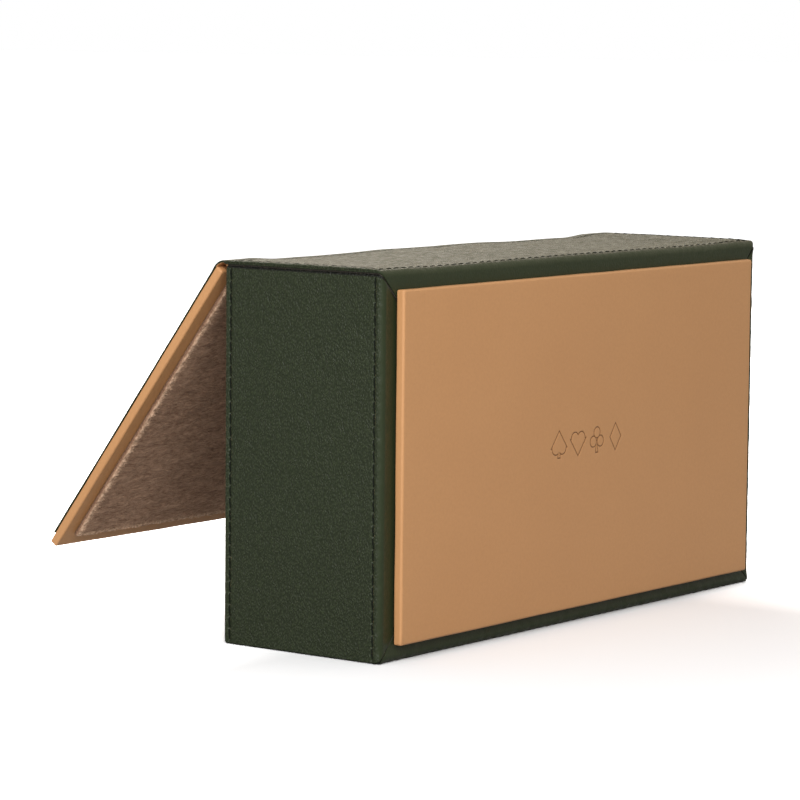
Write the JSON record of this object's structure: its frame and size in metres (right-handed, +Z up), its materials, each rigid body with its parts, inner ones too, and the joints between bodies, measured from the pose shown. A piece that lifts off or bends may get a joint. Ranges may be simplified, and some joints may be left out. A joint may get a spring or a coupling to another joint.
{
  "type": "card deck box",
  "caption": "Leatherette-wrapped board box for card decks, standing on a long wall, with a raised base panel and a padded flap lid on a leatherette hinge.",
  "frame": {"origin": "middle of the outer face of the long wall that the box stands on (rest_face)", "axes": "+X along the long walls, +Y from the base side to the mouth, +Z up from the resting face"},
  "size_m": [0.2268, 0.1449, 0.126],
  "materials": {
    "green_leatherette": "fine pebble grain, satin",
    "tan_leatherette": "smooth, satin",
    "plush": "short brushed pile",
    "greyboard": "raw greyboard",
    "thread": "twisted thread",
    "magnet": "nickel plated"
  },
  "bodies": {
    "shell": {"rest_wall_board": "greyboard", "hinge_wall_board": "greyboard", "floor_board": "greyboard", "left_end_board": "greyboard", "right_end_board": "greyboard", "left_end_cover": "green_leatherette", "right_end_cover": "green_leatherette", "rest_wall_cover": "green_leatherette", "spine_cover": "green_leatherette", "hinge_lining": "tan_leatherette", "floor_lining": "plush", "rest_wall_lining": "plush", "hinge_wall_lining": "plush", "left_end_lining": "plush", "right_end_lining": "plush", "divider_1_core": "greyboard", "divider_1_cover": "plush", "divider_2_core": "greyboard", "divider_2_cover": "plush", "left_wall_magnet": "magnet", "right_wall_magnet": "magnet", "base_panel_cover": "tan_leatherette", "base_panel_board": "greyboard", "left_end_mouth_seam": "thread", "right_end_mouth_seam": "thread", "rest_wall_mouth_seam": "thread", "spine_mouth_seam": "thread", "left_end_base_seam": "thread", "right_end_base_seam": "thread", "rest_wall_base_seam": "thread", "spine_base_seam": "thread", "spine_left_seam": "thread", "spine_right_seam": "thread"},
    "lid": {"lid_cover": "tan_leatherette", "lid_board": "greyboard", "lid_skin": "green_leatherette", "lid_hinge_seam": "thread", "lid_free_edge_seam": "thread", "lid_pad_card": "greyboard", "lid_pad_plush": "plush", "left_lid_magnet": "magnet", "right_lid_magnet": "magnet"}
  },
  "joints": [
    {"name": "lid_hinge", "type": "hinge", "parent": "shell", "child": "lid", "pos_m": [0, 0.03595, 0.12555], "axis": [1, 0, 0], "range_deg": [-36.9, 176.1]}
  ]
}
